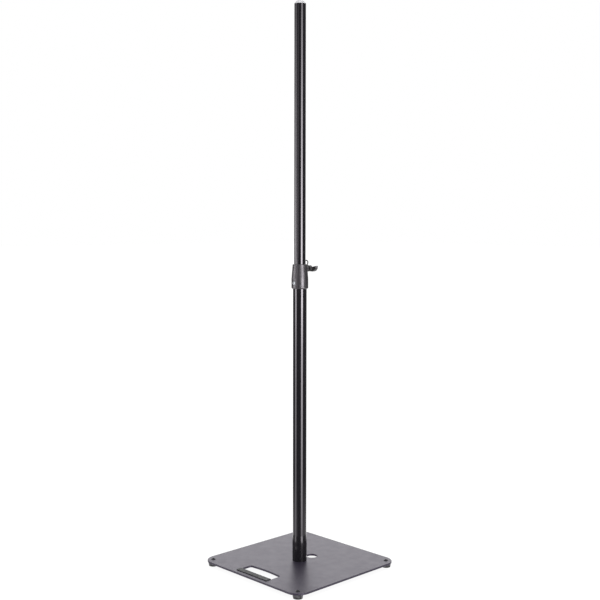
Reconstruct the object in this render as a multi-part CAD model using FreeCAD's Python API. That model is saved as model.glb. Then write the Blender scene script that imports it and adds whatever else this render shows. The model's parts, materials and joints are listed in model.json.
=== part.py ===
"""Loudspeaker stand: a square steel base plate, a fixed lower tube and a telescopic mast for a 35 mm
speaker socket.

Frame: millimetres, +Z up, origin on the floor on the mast's axis. The sides of the base plate are
parallel to X and Y. The carrying slot is on the -Y side and the cable hole is on the +Y side.
"""

import FreeCAD
import Part

import math
import os

from FreeCAD import Vector as V

Z_AXIS = V(0, 0, 1)

SLIDE_GAP = 0.1      # radial clearance of a sliding fit
TURN_GAP = 0.05      # radial clearance of a turning fit and of a thread
SEAT_GAP = 0.05      # radial clearance of a piece pushed into its seat
END_GAP = 0.2        # axial clearance beside a turning ring
PAST = 1.0           # how far a cutting tool runs past the face it leaves

# ---- heights above the floor ----
FOOT_H = 13.5
PLATE_T = 6.0
PLATE_TOP = FOOT_H + PLATE_T
COLLAR_H = 74.0
COLLAR_TOP = 931.5
COLLAR_BOTTOM = COLLAR_TOP - COLLAR_H
MAST_TOP = 1699.5
CAP_H = 11.0

# ---- base plate ----
PLATE_SIDE = 425.0
PLATE_CORNER_R = 41.0
PLATE_EDGE = 0.8                 # softened edge
SLOT_HALF_X = 66.0
SLOT_OUTER_Y = -196.0
SLOT_INNER_Y = -141.0            # at the slot's ends
SLOT_BOW = 5.0                   # the inner edge bows towards the mast by this much
SLOT_CORNER_R = 7.0
CABLE_HOLE_Y = 53.0
CABLE_HOLE_R = 18.0
FOOT_INSET = 24.5

# ---- carrying grip, clipped on the slot's outer edge ----
GRIP_W = 18.0
GRIP_H = 11.0
GRIP_LIP = 3.0                   # how far its two lips reach over the plate
GRIP_ROUND = 3.5
GRIP_GAP = 0.1

# ---- tubes ----
LOWER_R = 21.0
LOWER_WALL = 2.0
LOWER_IN_R = LOWER_R - LOWER_WALL
LOWER_TOP = 895.5
MAST_R = 17.5
MAST_WALL = 2.0
MAST_IN_R = MAST_R - MAST_WALL
MAST_BOTTOM = 794.5
MARK_W = 2.0                     # full-height mark: a shallow groove at the collar's rim
MARK_DEPTH = 0.2
MARK_TOP = COLLAR_TOP + 0.4
CAP_RIM_H = 1.5                  # straight rim under the cap's taper
CAP_TOP_R = 7.5
CAP_EDGE = 1.5                   # height of the small cone round the cap's flat top
CAP_EDGE_W = 2.5

# ---- foot of the lower tube ----
SLEEVE_R = 22.0
SLEEVE_H = 80.0
SLEEVE_TAPER_H = 18.0            # its upper part runs in to the tube
SLEEVE_TOP_R = 21.4
PLUG_H = 40.0
BASE_BOLT_R = 6.0
BASE_BOLT_LENGTH = 36.0
BASE_HEAD_FLATS = 19.0
BASE_HEAD_H = 6.0
BASE_WASHER_R = 15.0
BASE_WASHER_T = 2.0

# ---- guides of the mast ----
BUSH_FLANGE_T = 2.0
RING_T = 1.5                     # retaining ring above the glide ring
RING_GROOVE = 0.5
RING_OUT_R = 18.4
STOP_GAP = 0.5                   # between the retaining ring and the bush, mast fully raised
GLIDE_H = 33.6
END_PLUG_FLANGE = 3.0
END_PLUG_H = 20.0
END_PLUG_WALL = 3.0
END_PLUG_FLOOR = 2.0

# ---- collar ----
COLLAR_R = 25.5
COLLAR_TAPER_FROM = COLLAR_TOP - 44.0
COLLAR_TOP_R = 22.2
COLLAR_SHOULDER = 4.0
COLLAR_FOOT_ROUND = 3.5
FIXING_Z = COLLAR_BOTTOM + 17.0
FIXING_HEAD_R = 6.5
FIXING_RECESS_R = 7.0
FIXING_SEAT = 22.4               # under the head, from the mast's axis
FIXING_SUNK = 0.6                # the head below the collar's face
FIXING_R = 2.5
FIXING_TIP = LOWER_IN_R + 0.2
FIXING_SOCKET_R = 1.8
FIXING_SOCKET_FLOOR = 1.0        # metal under the socket

# ---- clamp, on the +Y side ----
CLAMP_Z = COLLAR_TOP - 14.0
CLAMP_BOSS_R = 9.0
CLAMP_BOSS_END = 30.0
CLAMP_THREAD_R = 4.0
INSERT_R = 6.0
INSERT_START = 20.2
INSERT_SUNK = 0.4                # below the end of its boss
SHOE_END = 20.0
SHOE_R = 3.9
SHOE_HORNS = 2.0                 # how far the shoe reaches round the mast
KNOB_START = 34.0
KNOB_SKIRT_R = 9.5
KNOB_SKIRT_END = 44.1
KNOB_WAIST = 50.0                # bottom of the saddle between the wings
KNOB_TIP = 58.0
KNOB_SPAN = 22.0                 # axis to wing tip
# One half of the knob's outline as seen along its axis, as (X, height above the axis). The other
# half is this one turned by 180 degrees, so each wing is full below and hollow above, or the reverse.
KNOB_OUTLINE = [
    (0.0, -7.5),
    (5.0, -9.5),
    (10.5, -9.6),
    (14.5, -7.0),
    (18.0, -1.5),
    (20.8, 3.5),
    (22.0, 6.5),
    (20.0, 8.2),
    (14.0, 6.4),
    (8.0, 4.0),
    (3.0, 4.5),
]
SCREW_IN_KNOB = KNOB_WAIST - 4.0  # where the clamp screw ends

# ---- safety bolt, on the side between -X and +Y ----
BOLT_Z = COLLAR_TOP - 24.0
BOLT_AZIMUTH = 135.0
BOLT_R = 4.0
BOLT_TIP = 18.0                  # parked clear of the mast
BOLT_NOSE = 1.2                  # chamfer that finds the hole
BOLT_BOSS_END = 28.0
BOLT_HEAD_START = 43.9
BOLT_HEAD_L = 12.0
BOLT_HEAD_R = 8.0
BOLT_HEAD_ROUND = 1.5
BOLT_HEAD_SOCKET = 8.0           # how far the shank reaches into the head
BOLT_BUSH_R = 6.0
BOLT_BOSS_R = 8.5
HOLE_R = 4.3
HOLE_PITCH = 100.0
HOLE_COUNT = 8

# ---- tether between the clamp screw and the safety bolt ----
TETHER_D = 3.4
EYE_T = 3.4
EYE_R = 7.0
EYE_LUG_R = 1.65
EYE_LUG_H = 10.0                 # end of the lug that holds the tether, above the eye's axis
EYE_LUG_ROOT = 1.0               # how deep the lug starts in the eye
# The route starts on the lug of the clamp screw's eye, rises beside the mast, passes behind it above
# the collar and comes down on the lug of the safety bolt's eye. Each point is (X, Y, height above the
# collar's top).
TETHER_ROUTE = [
    (0.0, 31.7, -3.8),
    (0.0, 31.9, -0.6),
    (0.2, 33.8, 3.2),
    (-2.2, 35.6, 7.2),
    (-6.7, 35.9, 10.1),
    (-12.5, 35.0, 10.6),
    (-18.6, 33.6, 8.4),
    (-24.6, 32.3, 3.6),
    (-29.1, 30.6, -3.8),
    (-29.8, 29.8, -13.7),
]

# ---- feet ----
FOOT_R = 15.0
FOOT_EDGE = 0.6
SOLE_R = 14.0
SOLE_T = 4.0
SOLE_EDGE = 0.8
SOLE_STEM_R = 5.0
SOLE_STEM_H = 3.0
FOOT_RIBS = 24
FOOT_RIB_R = 1.1
FOOT_RIB_END = 0.8               # the ribs stop this far from either face
STUD_R = 4.0
STUD_TOP = PLATE_TOP + 3.0
STUD_EDGE = 0.6
STUD_SOCKET_FLATS = 4.0
STUD_SOCKET_DEPTH = 3.0
FOOT_INSERT_R = 5.5
FOOT_FLANGE_R = 6.8
FOOT_FLANGE_T = 1.6
FOOT_FLANGE_ROUND = 0.8

FEET = {
    "front_left": (-1, -1),
    "front_right": (1, -1),
    "rear_left": (-1, 1),
    "rear_right": (1, 1),
}


def cylinder(radius, low, high, centre=(0.0, 0.0)):
    """An upright cylinder between two heights."""
    return Part.makeCylinder(radius, high - low, V(centre[0], centre[1], low))


def ring(inner, outer, low, high, centre=(0.0, 0.0)):
    """An upright tube between two heights."""
    return cylinder(outer, low, high, centre).cut(cylinder(inner, low - PAST, high + PAST, centre))


def side_cylinder(radius, start, end, z, azimuth=90.0):
    """A level cylinder that points away from the mast's axis, between two distances from it."""
    way = V(math.cos(math.radians(azimuth)), math.sin(math.radians(azimuth)), 0)
    return Part.makeCylinder(radius, end - start, way * start + V(0, 0, z), way)


def side_ring(inner, outer, start, end, z, azimuth=90.0):
    """A level tube that points away from the mast's axis."""
    solid = side_cylinder(outer, start, end, z, azimuth)
    return solid.cut(side_cylinder(inner, start - PAST, end + PAST, z, azimuth))


def revolved(outline):
    """A solid of revolution about Z, from a closed outline of (radius, height) points."""
    wire = Part.makePolygon([V(r, 0, z) for r, z in outline + outline[:1]])
    return Part.Face(wire).revolve(V(0, 0, 0), Z_AXIS, 360)


def circle_edges(solid, z, radius=None):
    """The solid's round level edges at a height, or only those of one radius."""
    found = []
    for edge in solid.Edges:
        box = edge.BoundBox
        if abs(box.ZMin - z) > 1e-4 or abs(box.ZMax - z) > 1e-4:
            continue
        if not isinstance(edge.Curve, Part.Circle):
            continue
        if radius is None or abs(edge.Curve.Radius - radius) < 1e-4:
            found.append(edge)
    return found


def upright_edges(solid):
    """The solid's straight edges that are parallel to Z."""
    found = []
    for edge in solid.Edges:
        if isinstance(edge.Curve, Part.Line) and abs(edge.tangentAt(edge.FirstParameter).z) > 0.999:
            found.append(edge)
    return found


def foot_centre(side):
    """The axis of one foot, in plan."""
    reach = PLATE_SIDE / 2 - FOOT_INSET
    return (side[0] * reach, side[1] * reach)


# ---- base ----

def slot_outline(z):
    """The carrying slot: straight sides, and an inner edge that bows towards the mast."""
    a = V(-SLOT_HALF_X, SLOT_OUTER_Y, z)
    b = V(SLOT_HALF_X, SLOT_OUTER_Y, z)
    c = V(SLOT_HALF_X, SLOT_INNER_Y, z)
    d = V(-SLOT_HALF_X, SLOT_INNER_Y, z)
    bow = Part.Arc(c, V(0, SLOT_INNER_Y + SLOT_BOW, z), d).toShape()
    sides = [Part.makeLine(a, b), Part.makeLine(b, c), bow, Part.makeLine(d, a)]
    return Part.Wire(sides)


def base_plate():
    half = PLATE_SIDE / 2
    plate = Part.makeBox(PLATE_SIDE, PLATE_SIDE, PLATE_T, V(-half, -half, FOOT_H))
    plate = plate.makeFillet(PLATE_CORNER_R, upright_edges(plate))
    rim = [e for e in plate.Edges if e.BoundBox.ZLength < 1e-4]
    plate = plate.makeChamfer(PLATE_EDGE, rim)
    low = FOOT_H - PAST
    high = PLATE_TOP + PAST
    slot = Part.Face(slot_outline(low)).extrude(V(0, 0, high - low))
    inner = [e for e in upright_edges(slot) if e.BoundBox.YMin > SLOT_OUTER_Y + PAST]
    slot = slot.makeFillet(SLOT_CORNER_R, inner)
    cable = cylinder(CABLE_HOLE_R, low, high, (0, CABLE_HOLE_Y))
    bolt = cylinder(BASE_BOLT_R + TURN_GAP, low, high)
    plate = plate.cut(slot).cut(cable).cut(bolt)
    for side in FEET.values():
        plate = plate.cut(cylinder(FOOT_INSERT_R, low, high, foot_centre(side)))
    return plate


def handle_grip():
    """A bar along the slot's outer edge, with a groove that clips over the plate."""
    length = 2 * (SLOT_HALF_X - GRIP_GAP)
    middle = FOOT_H + PLATE_T / 2
    low = V(-length / 2, SLOT_OUTER_Y - GRIP_LIP, middle - GRIP_H / 2)
    bar = Part.makeBox(length, GRIP_W + GRIP_LIP, GRIP_H, low)
    inner = [e for e in bar.Edges if e.BoundBox.YMin > SLOT_OUTER_Y and e.BoundBox.XLength > GRIP_W]
    bar = bar.makeFillet(GRIP_ROUND, inner)
    groove_low = V(-length, SLOT_OUTER_Y - GRIP_LIP - PAST, FOOT_H - GRIP_GAP)
    groove = Part.makeBox(2 * length, GRIP_LIP + PAST + GRIP_GAP, PLATE_T + 2 * GRIP_GAP, groove_low)
    return bar.cut(groove)


def base_sleeve():
    """The plastic sleeve round the foot of the lower tube, tapered at its top."""
    top = PLATE_TOP + SLEEVE_H
    return revolved([
        (LOWER_R + SEAT_GAP, PLATE_TOP),
        (SLEEVE_R, PLATE_TOP),
        (SLEEVE_R, top - SLEEVE_TAPER_H),
        (SLEEVE_TOP_R, top),
        (LOWER_R + SEAT_GAP, top),
    ])


def base_plug():
    return ring(BASE_BOLT_R, LOWER_IN_R - SEAT_GAP, PLATE_TOP, PLATE_TOP + PLUG_H)


def hexagon_head(flats, low, high):
    """A hexagon prism on the mast's axis."""
    corner_r = flats / math.sqrt(3)
    points = []
    for i in range(7):
        turn = math.radians(60 * i)
        points.append(V(corner_r * math.cos(turn), corner_r * math.sin(turn), low))
    return Part.Face(Part.makePolygon(points)).extrude(V(0, 0, high - low))


def base_bolt():
    under_head = FOOT_H - BASE_WASHER_T
    head = hexagon_head(BASE_HEAD_FLATS, under_head - BASE_HEAD_H, under_head)
    shank = cylinder(BASE_BOLT_R - TURN_GAP, under_head, under_head + BASE_BOLT_LENGTH)
    return head.fuse(shank).removeSplitter()


def base_washer():
    return ring(BASE_BOLT_R + TURN_GAP, BASE_WASHER_R, FOOT_H - BASE_WASHER_T, FOOT_H)


# ---- lower tube and collar ----

def lower_tube():
    tube = ring(LOWER_IN_R, LOWER_R, PLATE_TOP, LOWER_TOP)
    return tube.cut(side_cylinder(FIXING_R + TURN_GAP, 0, LOWER_R + PAST, FIXING_Z, -90))


def guide_bush():
    inner = MAST_R + SLIDE_GAP
    bottom = MAST_BOTTOM + GLIDE_H + 2 * END_GAP + RING_T + STOP_GAP
    sleeve = ring(inner, LOWER_IN_R - SEAT_GAP, bottom, LOWER_TOP)
    flange = ring(inner, LOWER_R, LOWER_TOP, LOWER_TOP + BUSH_FLANGE_T)
    return sleeve.fuse(flange).removeSplitter()


def collar():
    outline = [
        (0, COLLAR_BOTTOM),
        (COLLAR_R, COLLAR_BOTTOM),
        (COLLAR_R, COLLAR_TAPER_FROM),
        (COLLAR_TOP_R, COLLAR_TOP - COLLAR_SHOULDER),
        (COLLAR_TOP_R, COLLAR_TOP),
        (0, COLLAR_TOP),
    ]
    body = revolved(outline)
    body = body.makeFillet(COLLAR_FOOT_ROUND, circle_edges(body, COLLAR_BOTTOM))
    body = body.makeFillet(COLLAR_SHOULDER / 2, circle_edges(body, COLLAR_TOP))
    body = body.fuse(side_cylinder(CLAMP_BOSS_R, 0, CLAMP_BOSS_END, CLAMP_Z))
    body = body.fuse(side_cylinder(BOLT_BOSS_R, 0, BOLT_BOSS_END, BOLT_Z, BOLT_AZIMUTH))
    seat = LOWER_TOP + BUSH_FLANGE_T
    clamp_end = CLAMP_BOSS_END + PAST
    bolt_end = BOLT_BOSS_END + PAST
    cutters = [
        cylinder(LOWER_R + SEAT_GAP, COLLAR_BOTTOM - PAST, seat),
        cylinder(MAST_R + SLIDE_GAP, seat - PAST, COLLAR_TOP + PAST),
        side_cylinder(CLAMP_THREAD_R + TURN_GAP, 0, clamp_end, CLAMP_Z),
        side_cylinder(INSERT_R, INSERT_START, clamp_end, CLAMP_Z),
        side_cylinder(BOLT_R + TURN_GAP, 0, bolt_end, BOLT_Z, BOLT_AZIMUTH),
        side_cylinder(BOLT_BUSH_R, INSERT_START, bolt_end, BOLT_Z, BOLT_AZIMUTH),
        side_cylinder(FIXING_R + TURN_GAP, 0, COLLAR_R + PAST, FIXING_Z, -90),
        side_cylinder(FIXING_RECESS_R, FIXING_SEAT, COLLAR_R + PAST, FIXING_Z, -90),
    ]
    for cutter in cutters:
        body = body.cut(cutter)
    return body.removeSplitter()


def collar_fixing_screw():
    head = side_cylinder(FIXING_HEAD_R, FIXING_SEAT, COLLAR_R - FIXING_SUNK, FIXING_Z, -90)
    floor = FIXING_SEAT + FIXING_SOCKET_FLOOR
    socket = side_cylinder(FIXING_SOCKET_R, floor, COLLAR_R + PAST, FIXING_Z, -90)
    shank = side_cylinder(FIXING_R, FIXING_TIP, FIXING_SEAT, FIXING_Z, -90)
    return head.cut(socket).fuse(shank).removeSplitter()


def clamp_insert():
    end = CLAMP_BOSS_END - INSERT_SUNK
    return side_ring(CLAMP_THREAD_R + TURN_GAP, INSERT_R, INSERT_START, end, CLAMP_Z)


def clamp_shoe():
    """The pad that the screw presses on the mast, hollowed to the mast's curve."""
    pad = side_cylinder(SHOE_R, MAST_R - SHOE_HORNS, SHOE_END, CLAMP_Z)
    return pad.cut(cylinder(MAST_R + TURN_GAP, CLAMP_Z - 2 * SHOE_R, CLAMP_Z + 2 * SHOE_R))


def clamp_screw():
    return side_cylinder(CLAMP_THREAD_R, SHOE_END + TURN_GAP, SCREW_IN_KNOB, CLAMP_Z)


def clamp_knob():
    """A skirt and two S-shaped wings that flare away from the collar."""
    skirt = side_cylinder(KNOB_SKIRT_R, KNOB_START, KNOB_SKIRT_END, CLAMP_Z)
    plan = [
        (1 - KNOB_SKIRT_R, KNOB_SKIRT_END - 4),
        (KNOB_SKIRT_R - 1, KNOB_SKIRT_END - 4),
        (KNOB_SPAN - 3, KNOB_WAIST - 2),
        (KNOB_SPAN + 1, KNOB_TIP - 4),
        (KNOB_SPAN - 4, KNOB_TIP),
        (0, KNOB_WAIST),
        (4 - KNOB_SPAN, KNOB_TIP),
        (-1 - KNOB_SPAN, KNOB_TIP - 4),
        (3 - KNOB_SPAN, KNOB_WAIST - 2),
    ]
    low = CLAMP_Z - KNOB_SPAN
    wire = Part.makePolygon([V(x, y, low) for x, y in plan + plan[:1]])
    flared = Part.Face(wire).extrude(V(0, 0, 2 * KNOB_SPAN))
    ends = KNOB_OUTLINE + [(-x, -z) for x, z in KNOB_OUTLINE]
    wire = Part.makePolygon([V(x, KNOB_START, CLAMP_Z + z) for x, z in ends + ends[:1]])
    lobed = Part.Face(wire).extrude(V(0, KNOB_TIP - KNOB_START + 1, 0))
    knob = skirt.fuse(flared.common(lobed)).removeSplitter()
    return knob.cut(side_cylinder(CLAMP_THREAD_R, 0, SCREW_IN_KNOB, CLAMP_Z))


# ---- safety bolt and tether ----

def bolt_bush():
    end = BOLT_BOSS_END - INSERT_SUNK
    return side_ring(BOLT_R + TURN_GAP, BOLT_BUSH_R, INSERT_START, end, BOLT_Z, BOLT_AZIMUTH)


def safety_bolt():
    shank = side_cylinder(BOLT_R, BOLT_TIP, BOLT_HEAD_START + BOLT_HEAD_SOCKET, BOLT_Z, BOLT_AZIMUTH)
    ends = [e for e in shank.Edges if isinstance(e.Curve, Part.Circle)]
    nose = min(ends, key=lambda e: math.hypot(e.CenterOfMass.x, e.CenterOfMass.y))
    return shank.makeChamfer(BOLT_NOSE, [nose])


def safety_bolt_head():
    start = BOLT_HEAD_START
    head = side_cylinder(BOLT_HEAD_R, start, start + BOLT_HEAD_L, BOLT_Z, BOLT_AZIMUTH)
    round_edges = [e for e in head.Edges if isinstance(e.Curve, Part.Circle)]
    head = head.makeFillet(BOLT_HEAD_ROUND, round_edges)
    return head.cut(side_cylinder(BOLT_R, 0, start + BOLT_HEAD_SOCKET, BOLT_Z, BOLT_AZIMUTH))


def eye(inner, start, z, azimuth):
    """A flat ring with an upright lug, in which one end of the tether is moulded."""
    middle = start + EYE_T / 2
    turn = math.radians(azimuth)
    spot = (middle * math.cos(turn), middle * math.sin(turn))
    lug = cylinder(EYE_LUG_R, z + EYE_R - EYE_LUG_ROOT, z + EYE_LUG_H, spot)
    flat_ring = side_ring(inner, EYE_R, start, start + EYE_T, z, azimuth)
    return flat_ring.fuse(lug).removeSplitter()


def tether_screw_eye():
    return eye(CLAMP_THREAD_R + 4 * TURN_GAP, CLAMP_BOSS_END, CLAMP_Z, 90)


def tether_bolt_eye():
    return eye(BOLT_R + TURN_GAP, BOLT_HEAD_START - EYE_T, BOLT_Z, BOLT_AZIMUTH)


def rounded_path(points):
    """Straight runs joined by tangent arcs, each as large as its two runs allow. Prints the radii."""
    edges = []
    radii = []
    last = points[0]
    for before, corner, after in zip(points, points[1:], points[2:]):
        into = corner - before
        out = after - corner
        turn = into.getAngle(out)
        radius = 0.45 * min(into.Length, out.Length) / math.tan(turn / 2)
        radii.append(radius)
        back = radius * math.tan(turn / 2)
        into.normalize()
        out.normalize()
        start = corner - into * back
        end = corner + out * back
        inward = out - into
        inward.normalize()
        reach = radius / math.cos(turn / 2) - radius
        edges.append(Part.LineSegment(last, start).toShape())
        edges.append(Part.Arc(start, corner + inward * reach, end).toShape())
        last = end
    edges.append(Part.LineSegment(last, points[-1]).toShape())
    print("tether radii", [round(r, 1) for r in radii])
    return Part.Wire(edges)


def tether():
    route = [V(x, y, COLLAR_TOP + rise) for x, y, rise in TETHER_ROUTE]
    path = rounded_path(route)
    first = route[1] - route[0]
    section = Part.Wire(Part.makeCircle(TETHER_D / 2, route[0], first))
    tube = path.makePipeShell([section], True, False)
    expected = math.pi * (TETHER_D / 2) ** 2 * path.Length
    print("tether length", round(path.Length, 1), "volume ratio", round(tube.Volume / expected, 4))
    return tube


# ---- mast ----

def ring_groove_low():
    """The height of the groove's lower face."""
    return MAST_BOTTOM + GLIDE_H + 2 * END_GAP


def mast_tube():
    tube = ring(MAST_IN_R, MAST_R, MAST_BOTTOM, MAST_TOP)
    low = ring_groove_low()
    tube = tube.cut(ring(MAST_R - RING_GROOVE, MAST_R + PAST, low, low + RING_T))
    tube = tube.cut(ring(MAST_R - MARK_DEPTH, MAST_R + PAST, MARK_TOP - MARK_W, MARK_TOP))
    for i in range(HOLE_COUNT):
        z = BOLT_Z + i * HOLE_PITCH
        tube = tube.cut(side_cylinder(HOLE_R, 0, MAST_R + PAST, z, BOLT_AZIMUTH))
    return tube


def mast_cap():
    """The tapered plug in the mast's top, which finds the loudspeaker's socket."""
    top = MAST_TOP + CAP_H
    outline = [
        (0, MAST_TOP),
        (MAST_R, MAST_TOP),
        (MAST_R, MAST_TOP + CAP_RIM_H),
        (CAP_TOP_R + CAP_EDGE_W, top - CAP_EDGE),
        (CAP_TOP_R, top),
        (0, top),
    ]
    stem = cylinder(MAST_IN_R - SEAT_GAP, MAST_TOP - END_PLUG_H, MAST_TOP)
    return revolved(outline).fuse(stem).removeSplitter()


def mast_end_plug():
    flange = cylinder(RING_OUT_R, MAST_BOTTOM - END_PLUG_FLANGE, MAST_BOTTOM)
    stem = cylinder(MAST_IN_R - SEAT_GAP, MAST_BOTTOM, MAST_BOTTOM + END_PLUG_H)
    plug = flange.fuse(stem).removeSplitter()
    floor = MAST_BOTTOM + END_PLUG_FLOOR
    return plug.cut(cylinder(MAST_IN_R - END_PLUG_WALL, floor, MAST_BOTTOM + END_PLUG_H + PAST))


def mast_retaining_ring():
    low = ring_groove_low()
    return ring(MAST_R - RING_GROOVE, RING_OUT_R, low, low + RING_T)


def mast_glide_ring():
    low = MAST_BOTTOM + END_GAP
    return ring(MAST_R + TURN_GAP, LOWER_IN_R - SLIDE_GAP, low, low + GLIDE_H)


# ---- feet ----

def foot_sole(centre):
    """The rubber sole, with a stem that turns in the foot."""
    disc = cylinder(SOLE_R, 0, SOLE_T, centre)
    disc = disc.makeFillet(SOLE_EDGE, circle_edges(disc, 0))
    return disc.fuse(cylinder(SOLE_STEM_R, SOLE_T, SOLE_T + SOLE_STEM_H, centre)).removeSplitter()


def foot_knob(centre):
    """The ribbed foot, which is turned by hand to level the stand."""
    low = SOLE_T + END_GAP
    high = FOOT_H - END_GAP
    knob = cylinder(FOOT_R - FOOT_RIB_R / 2, low, high, centre)
    knob = knob.makeChamfer(FOOT_EDGE, circle_edges(knob, low) + circle_edges(knob, high))
    for i in range(FOOT_RIBS):
        turn = 2 * math.pi * i / FOOT_RIBS
        reach = FOOT_R - FOOT_RIB_R
        spot = (centre[0] + reach * math.cos(turn), centre[1] + reach * math.sin(turn))
        knob = knob.fuse(cylinder(FOOT_RIB_R, low + FOOT_RIB_END, high - FOOT_RIB_END, spot))
    knob = knob.cut(cylinder(SOLE_STEM_R + TURN_GAP, 0, SOLE_T + SOLE_STEM_H + END_GAP, centre))
    knob = knob.cut(cylinder(STUD_R, SOLE_T + SOLE_STEM_H, FOOT_H + PAST, centre))
    return knob.removeSplitter()


def foot_stud(centre):
    """The threaded stud, with a hexagon socket in its upper end."""
    stud = cylinder(STUD_R, SOLE_T + SOLE_STEM_H + END_GAP, STUD_TOP, centre)
    stud = stud.makeChamfer(STUD_EDGE, circle_edges(stud, STUD_TOP))
    socket = hexagon_head(STUD_SOCKET_FLATS, STUD_TOP - STUD_SOCKET_DEPTH, STUD_TOP + PAST)
    socket.translate(V(centre[0], centre[1], 0))
    return stud.cut(socket)


def foot_insert(centre):
    """The threaded insert of one foot: a body in the plate and a flange on its top."""
    body = cylinder(FOOT_INSERT_R, FOOT_H, PLATE_TOP, centre)
    flange = cylinder(FOOT_FLANGE_R, PLATE_TOP, PLATE_TOP + FOOT_FLANGE_T, centre)
    flange = flange.makeFillet(FOOT_FLANGE_ROUND, circle_edges(flange, PLATE_TOP + FOOT_FLANGE_T))
    insert = body.fuse(flange).removeSplitter()
    return insert.cut(cylinder(STUD_R + TURN_GAP, FOOT_H - PAST, STUD_TOP + PAST, centre))


def main():
    nodes = {
        "base_plate": base_plate(),
        "handle_grip": handle_grip(),
        "base_sleeve": base_sleeve(),
        "base_plug": base_plug(),
        "base_bolt": base_bolt(),
        "base_washer": base_washer(),
        "lower_tube": lower_tube(),
        "guide_bush": guide_bush(),
        "collar": collar(),
        "collar_fixing_screw": collar_fixing_screw(),
        "clamp_insert": clamp_insert(),
        "clamp_shoe": clamp_shoe(),
        "clamp_screw": clamp_screw(),
        "clamp_knob": clamp_knob(),
        "bolt_bush": bolt_bush(),
        "safety_bolt": safety_bolt(),
        "safety_bolt_head": safety_bolt_head(),
        "tether": tether(),
        "tether_screw_eye": tether_screw_eye(),
        "tether_bolt_eye": tether_bolt_eye(),
        "mast_tube": mast_tube(),
        "mast_cap": mast_cap(),
        "mast_end_plug": mast_end_plug(),
        "mast_retaining_ring": mast_retaining_ring(),
        "mast_glide_ring": mast_glide_ring(),
        "foot_inserts": Part.makeCompound([foot_insert(foot_centre(s)) for s in FEET.values()]),
    }
    for place, side in FEET.items():
        centre = foot_centre(side)
        nodes[f"foot_sole_{place}"] = foot_sole(centre)
        nodes[f"foot_knob_{place}"] = foot_knob(centre)
        nodes[f"foot_stud_{place}"] = foot_stud(centre)
    os.makedirs("parts", exist_ok=True)
    for name, shape in nodes.items():
        print(name, "valid" if shape.isValid() else "NOT VALID", len(shape.Solids), round(shape.Volume))
        shape.exportStep(f"parts/{name}.step")


main()
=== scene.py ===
"""Looks of the loudspeaker stand: turned and moulded pieces, materials, studio and camera."""

import json
import math

import bmesh
import bpy
import numpy as np
from mathutils import Matrix, Vector


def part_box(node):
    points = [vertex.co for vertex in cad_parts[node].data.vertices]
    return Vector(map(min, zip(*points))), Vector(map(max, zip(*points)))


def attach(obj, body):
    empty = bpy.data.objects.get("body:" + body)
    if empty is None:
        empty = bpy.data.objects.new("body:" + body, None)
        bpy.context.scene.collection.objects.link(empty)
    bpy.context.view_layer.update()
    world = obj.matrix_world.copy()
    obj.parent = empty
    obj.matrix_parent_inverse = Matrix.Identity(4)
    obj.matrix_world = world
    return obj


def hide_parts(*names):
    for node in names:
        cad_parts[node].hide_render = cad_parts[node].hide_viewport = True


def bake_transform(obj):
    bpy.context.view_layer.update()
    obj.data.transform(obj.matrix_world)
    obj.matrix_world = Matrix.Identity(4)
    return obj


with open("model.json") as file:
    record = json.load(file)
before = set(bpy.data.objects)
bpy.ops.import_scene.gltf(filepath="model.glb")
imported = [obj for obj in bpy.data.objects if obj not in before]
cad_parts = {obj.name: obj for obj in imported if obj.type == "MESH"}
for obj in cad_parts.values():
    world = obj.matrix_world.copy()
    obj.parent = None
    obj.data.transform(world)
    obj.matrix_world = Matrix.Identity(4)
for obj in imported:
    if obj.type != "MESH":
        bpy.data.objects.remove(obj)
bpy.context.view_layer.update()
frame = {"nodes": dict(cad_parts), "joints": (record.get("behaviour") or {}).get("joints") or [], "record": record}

MM = 0.001
UP = Vector((0, 0, 1))
JOINTS = {j["name"]: j for j in frame["joints"]}
NODES = frame["nodes"]

# ---- camera ----
CAMERA_TURN = math.radians(45.99)      # about Z, from looking along +Y
CAMERA_DISTANCE = 3.058                # from the mast's axis, level
CAMERA_HEIGHT = 1.0735
CAMERA_PITCH = math.radians(4.68)      # downwards
CAMERA_PAN = math.radians(0.009)       # to the right
CAMERA_ROLL = math.radians(0.07)
SENSOR = 36.0
LENS = 60.96

# ---- light: bearings in degrees to the right of the camera, as seen from the mast ----
# The strips stand in two tiers. A slope is the rise for each metre away from the mast.
KEY_BEARING = 37.0
KEY_HALF_WIDTH = 13.5
LOW_KEY_HALF_WIDTH = 12.0
KEY_RADIANCE = 18.0
RIM_BEARING = -89.0
LOW_RIM_BEARING = -69.5
RIM_HALF_WIDTH = 11.0
RIM_RADIANCE = 8.5
FILL_BEARING = -42.0
FILL_HALF_WIDTH = 4.0
FILL_RADIANCE = 3.8
STRIP_EDGE = 4.0                       # over which a strip fades out
FILL_EDGE = 5.0
TIER_SLOPE = -0.048                    # where the two tiers meet
TIER_SEAM = 0.004                      # half of the seam between them
UPPER_REACH = 0.33                     # how far up the upper tier fades
TIER_TAIL = 0.03                       # what is left of either tier at its far end
LOWER_FADES = (                        # the slopes that each fade lies between, and what it leaves
    (-0.08, -0.14, 0.55, "SMOOTHSTEP"),
    (-0.13, -0.31, 0.38, "LINEAR"),
    (-0.30, -0.36, TIER_TAIL, "SMOOTHSTEP"),
)
WALL_BEARINGS = (170.0, 143.0)         # where the wall behind is bright, and where it ends
WALL_RADIANCE = 2.1
DARK_RADIANCE = 0.15
HIGH_WALL_SLOPES = (0.22, 0.32)        # all round, above what the upright tubes mirror to the camera
HIGH_WALL_RADIANCE = 1.15
LOW_SIDE_BEARINGS = (20.0, 60.0)       # from the dim floor in front to the brighter floor at the sides
LOW_SIDE_SLOPES = (-0.24, -0.34)
SIDE_FLOOR_RADIANCE = 1.2
FRONT_FLOOR_RADIANCE = 0.25
FLOOR_SLOPES = (-0.38, -0.55)
FLOOR_RADIANCE = 0.8
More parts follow.
